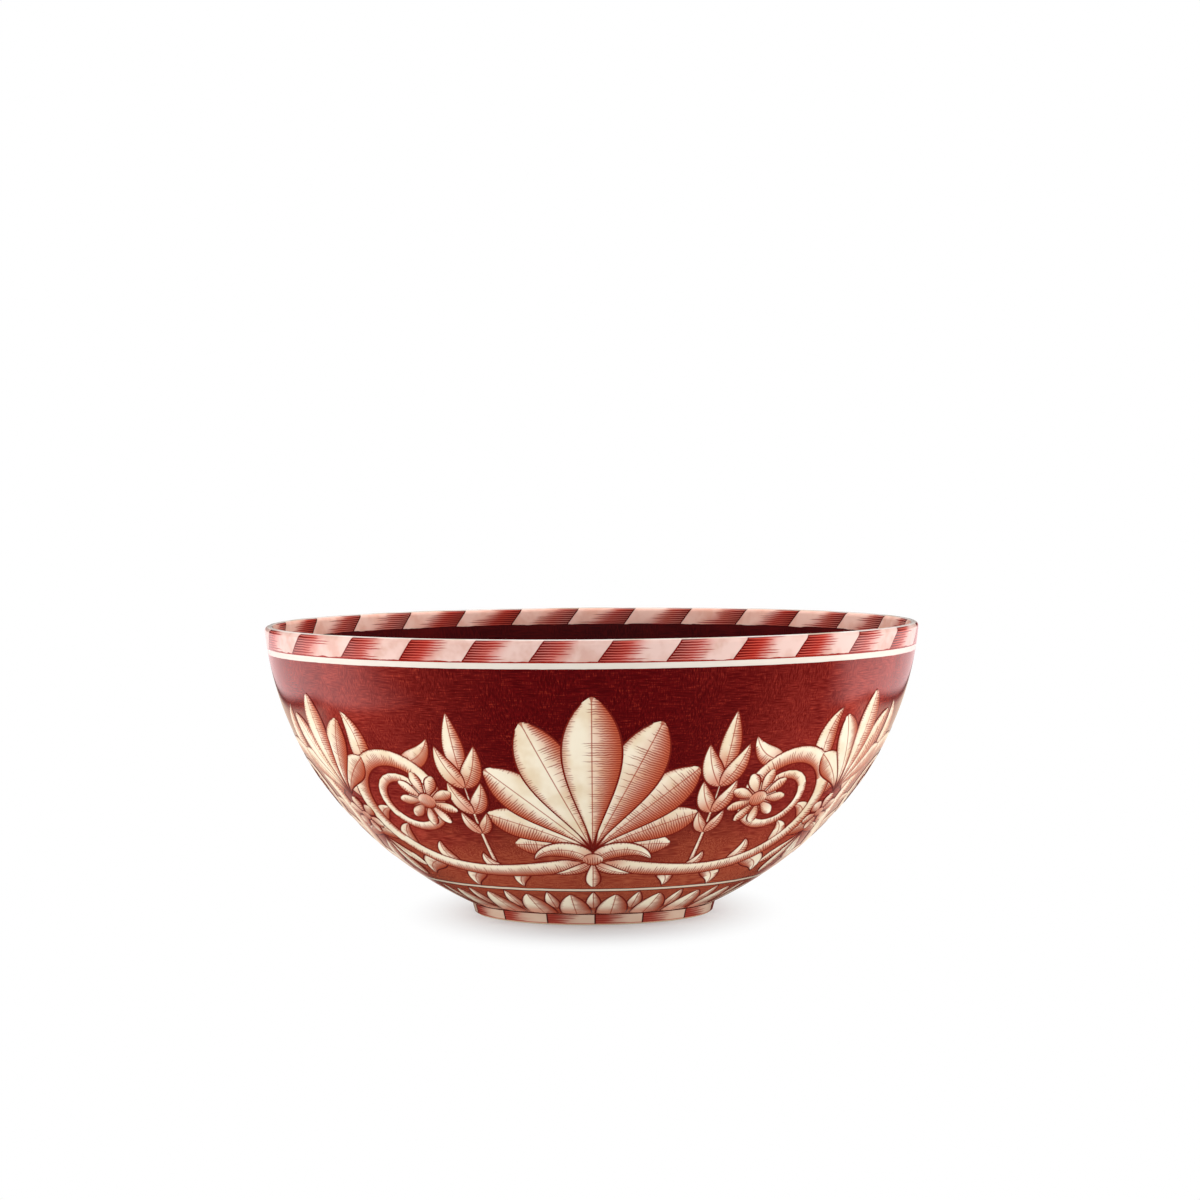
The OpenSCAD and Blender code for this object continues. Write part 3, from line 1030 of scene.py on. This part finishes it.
# The glaze sees two pale cards, further apart towards the back, with a warm strip of floor between them
card_gap_half = 345 * mm
card_gap_most = 400 * mm
card_flare = 0.5
card_soft = (-10 * mm, 40 * mm)
left_card_y = (-240 * mm, -20 * mm)
right_card_y = (-100 * mm, 40 * mm)
card_fade_y = (500 * mm, 200 * mm)
card_back = 1.22
card_front = 1.40
card_tint = (1, 0.74, 0.75, 1)
strip_x = (395 * mm, 355 * mm)
strip_y = (0.0, 100 * mm)
strip_light = 0.95
strip_tint = (1, 0.80, 0.64, 1)
gap_light = 0.03
gap_half = calc(tree, "MULTIPLY_ADD", axes["Y"], card_flare, card_gap_half)
gap_half = calc(tree, "MINIMUM", gap_half, card_gap_most)
left_out = calc(tree, "SUBTRACT", calc(tree, "MULTIPLY", axes["X"], -1.0), gap_half)
left_card = calc(tree, "MULTIPLY", step(tree, left_out, *card_soft), step(tree, axes["Y"], *left_card_y))
right_out = calc(tree, "SUBTRACT", axes["X"], gap_half)
right_card = calc(tree, "MULTIPLY", step(tree, right_out, *card_soft), step(tree, axes["Y"], *right_card_y))
cards = calc(tree, "MAXIMUM", left_card, right_card)
cards = calc(tree, "MULTIPLY", cards, step(tree, axes["Y"], *card_fade_y, card_back, card_front))
strip = step(tree, calc(tree, "ABSOLUTE", axes["X"]), *strip_x)
strip = calc(tree, "MULTIPLY", step(tree, axes["Y"], *strip_y), strip)
shown = calc(tree, "MAXIMUM", cards, calc(tree, "MULTIPLY", strip, strip_light))
shown = calc(tree, "MAXIMUM", shown, gap_light)
cast = mix(tree, strip, card_tint, strip_tint)
mirrored = tree_node(tree, "ShaderNodeEmission", {"Color": cast, "Strength": shown})
floor_look = tree_node(tree, "ShaderNodeMixShader", {0: rays["Is Glossy Ray"], 1: lifted.outputs[0],
                                                     2: mirrored.outputs[0]})
tree.links.new(floor_look.outputs[0], tree.nodes["Material Output"].inputs["Surface"])
floor_mesh.materials.append(paper)


def softbox(name, place, width, height, watts, mirrored=False):
    """A soft oval light that looks at the middle of the bowl, and shows in the glaze if it is mirrored."""
    light = bpy.data.lights.new(name, "AREA")
    light.shape = "ELLIPSE"
    light.size = width
    light.size_y = height
    light.energy = watts
    lamp = bpy.data.objects.new(name, light)
    aim = (Vector(place) - Vector((0, 0, bowl_h / 2))).to_track_quat("Z", "Y").to_matrix().to_4x4()
    lamp.matrix_world = Matrix.Translation(place) @ aim
    lamp.visible_glossy = mirrored
    bpy.context.scene.collection.objects.link(lamp)


softbox("left_softbox", (-1.84, -0.55, 0.18), width=1.0, height=0.30, watts=27)
softbox("right_softbox", (1.84, -0.49, 0.18), width=1.0, height=0.30, watts=27)
softbox("front_softbox", (-0.2, -2.3, 0.20), width=2.4, height=0.36, watts=8, mirrored=True)
softbox("top_softbox", (0.1, 0.1, 1.6), width=1.6, height=1.6, watts=18)
softbox("back_softbox", (0.4, 2.3, 0.30), width=2.4, height=0.36, watts=18)

# The camera stands in front and looks a little down
camera_place = Vector((4.2 * mm, -1749.6 * mm, 228.3 * mm))
camera_pitch = math.radians(2.470)
camera_roll = math.radians(-0.4386)
camera_data = bpy.data.cameras.new("camera")
camera_data.sensor_width = 36
camera_data.lens = 106.89
camera = bpy.data.objects.new("camera", camera_data)
camera.matrix_world = (Matrix.Translation(camera_place) @ Matrix.Rotation(math.pi / 2 - camera_pitch, 4, "X")
                       @ Matrix.Rotation(camera_roll, 4, "Z"))
bpy.context.scene.collection.objects.link(camera)
bpy.context.scene.camera = camera
bpy.context.scene.view_settings.view_transform = "Standard"
